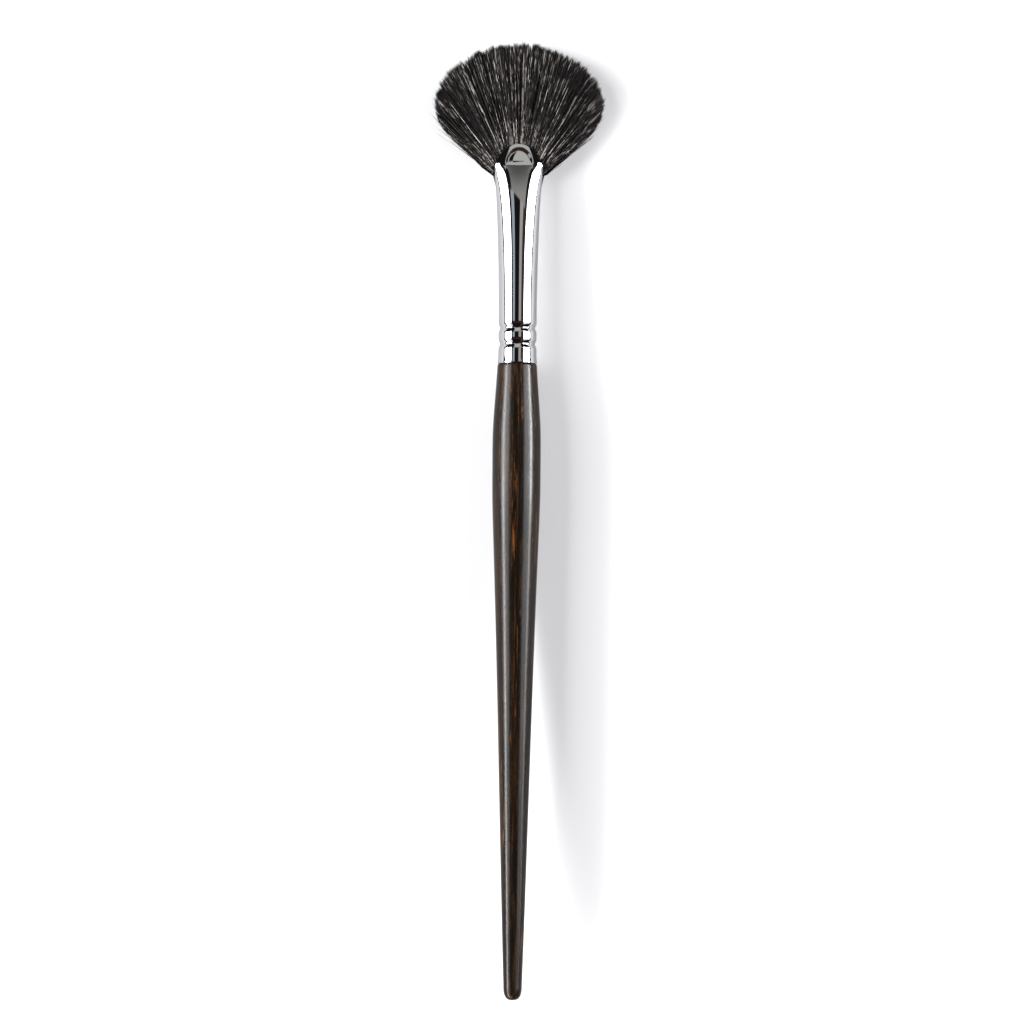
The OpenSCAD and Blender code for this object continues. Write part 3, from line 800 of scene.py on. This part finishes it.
# Studio: what the metal and the lacquer mirror, worked out by direction
def studio_light():
    """Two tall white screens at the sides, with a dark opening overhead. In the opening hang a grey
    panel ahead and two dim streaks. Each screen has a brighter core, and beyond its edge is a dark strip.
    across and ahead are the angles of a direction from straight up, in degrees."""
    world = bpy.data.worlds.new("studio")
    scene.world = world
    world.use_nodes = True
    g = Graph(world.node_tree)
    direction = g.add("ShaderNodeTexCoord").outputs["Generated"]
    split = g.add("ShaderNodeSeparateXYZ", {"Vector": direction}).outputs
    across = g.math("DEGREES", g.math("ARCTAN2", split[0], split[2]))
    ahead = g.math("DEGREES", g.math("ARCTAN2", split[1], split[2]))
    wide = g.math("ABSOLUTE", across)

    # The opening overhead, with a warm band across it, and the shape of the panel ahead
    opening = (0.009, 0.008, 0.008, 1.0)
    warm = (0.038, 0.020, 0.017, 1.0)
    light = g.mix(g.between(ahead, -12.0, 3.0, 2.0), opening, warm)
    wider = g.math("MULTIPLY", g.rise(ahead, 66.0, 6.0), 35.0)
    panel = g.rise(g.math("ADD", ahead, g.math("MULTIPLY", across, 0.08)), 19.5, 0.4)
    panel = g.math("MULTIPLY", panel, g.rise(g.math("ADD", across, wider), -24.0, 0.8))
    panel = g.math("MULTIPLY", panel, g.below(g.math("SUBTRACT", across, wider), 27.5, 0.8))
    panel = g.math("MULTIPLY", panel, g.below(ahead, 80.0, 2.0))

    # The two dim streaks, and a brown patch beside the right one
    right_zone = g.between(ahead, 4.7, 19.6, 0.5)
    left_zone = g.between(ahead, 4.7, 21.4, 0.5)
    left_streak = g.math("MULTIPLY", left_zone, g.between(across, -29.0, -17.0, 1.5))
    right_streak = g.math("MULTIPLY", right_zone, g.between(across, 7.0, 21.0, 1.5))
    right_brown = g.math("MULTIPLY", g.between(across, 21.0, 35.0, 1.5), g.below(ahead, 19.0, 1.0))
    light = g.mix(right_brown, light, (0.045, 0.028, 0.024, 1.0))
    light = g.mix(left_streak, light, (0.36, 0.42, 0.45, 1.0))
    light = g.mix(right_streak, light, (0.40, 0.38, 0.38, 1.0))

    # The panel's shade, from its low edge to its high part
    low_edge = (0.30, 0.305, 0.28, 1.0)
    middle = (0.092, 0.092, 0.087, 1.0)
    high_part = (0.48, 0.485, 0.455, 1.0)
    shade = g.mix(g.rise(ahead, 23.5, 4.5), low_edge, middle)
    shade = g.mix(g.rise(ahead, 31.0, 0.8), shade, high_part)
    light = g.mix(panel, light, shade)

    # How far the screens reach, and their light, which is weaker in their far part
    right_side = g.rise(across, 0.0, 1.0)
    near_end = g.math("ADD", -78.0, g.math("MULTIPLY", right_side, 38.0))
    outer_part = g.rise(wide, 62.0, 3.0)
    far_end = g.math("ADD", g.math("MULTIPLY", outer_part, 9.0), g.math("MULTIPLY", right_side, 6.0))
    reach = g.math("MULTIPLY", g.rise(g.math("SUBTRACT", ahead, near_end), 0.0, 3.0),
                   g.below(g.math("SUBTRACT", ahead, far_end), 31.0, 1.2))
    screens = g.math("MULTIPLY", g.rise(wide, 38.0, 1.2), reach)
    towards = g.rise(ahead, -3.0, 9.0)
    left_core = g.between(across, -71.0, -60.0, 3.0)
    right_core = g.between(across, 69.0, 79.0, 3.0)
    near = g.mix(left_core, (8.0, 8.0, 8.2, 1.0), (29.0, 29.0, 29.0, 1.0))
    near = g.mix(right_core, near, (47.0, 47.0, 47.0, 1.0))
    far = g.mix(left_core, (1.0, 1.0, 1.03, 1.0), (25.0, 25.0, 25.0, 1.0))
    far = g.mix(right_core, far, (1.6, 1.6, 1.6, 1.0))
    light = g.mix(screens, light, g.mix(towards, far, near))
    strip = g.math("MULTIPLY", g.between(wide, 80.0, 91.0, 1.0), reach)
    light = g.mix(strip, light, (0.06, 0.06, 0.06, 1.0))

    # Behind the floor the camera sees only a plain pale wall
    seen = g.add("ShaderNodeLightPath").outputs["Is Camera Ray"]
    light = g.mix(seen, light, (0.86, 0.86, 0.87, 1.0))
    lit = g.add("ShaderNodeBackground", {"Color": light, "Strength": 1.0})
    g.add("ShaderNodeOutputWorld", {"Surface": lit.outputs["Background"]})


def floor():
    """The surface that the brush lies on."""
    half = 3.0
    corners = np.array([[-half, -half, 0], [half, -half, 0], [half, half, 0], [-half, half, 0]])
    made = piece("floor", corners, [np.array([[0, 1, 2, 3]])], pale_floor(), None)


def camera():
    """Looking straight down from far enough for a long lens, turned a little as the brush lies."""
    lens = 151.5
    sensor = 36.0
    frame_across = 0.2139
    aim = (-0.00086, 0.00165, 0.005)
    turned = math.radians(0.43)
    data = bpy.data.cameras.new("camera")
    data.lens = lens
    data.sensor_width = sensor
    data.clip_end = 20.0
    made = bpy.data.objects.new("camera", data)
    made.location = (aim[0], aim[1], aim[2] + frame_across * lens / sensor)
    made.rotation_euler = (0.0, 0.0, turned)
    scene.collection.objects.link(made)
    scene.camera = made


camera()
studio_light()
floor()
turned_handle(lacquered_ebony())
pressed_ferrule(bright_plate())
hair = dark_hair()
hairs("hair_core", 5600, 11, -0.75, 0.75, hair, start=22.6)
hairs("hair_front_under", 5600, 12, 0.40, 0.95, hair)
hairs("hair_front", 5600, 15, 0.60, 1.0, hair)
hairs("hair_back", 5600, 13, -1.0, -0.45, hair)
hairs("hair_strays", 420, 14, -0.9, 0.9, hair, stray=1.0)
for node, finish in (("resin_plug", amber_resin()), ("root_binding", waxed_thread())):
    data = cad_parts[node].data
    data.materials.clear()
    data.materials.append(finish)

scene.view_settings.view_transform = "Standard"
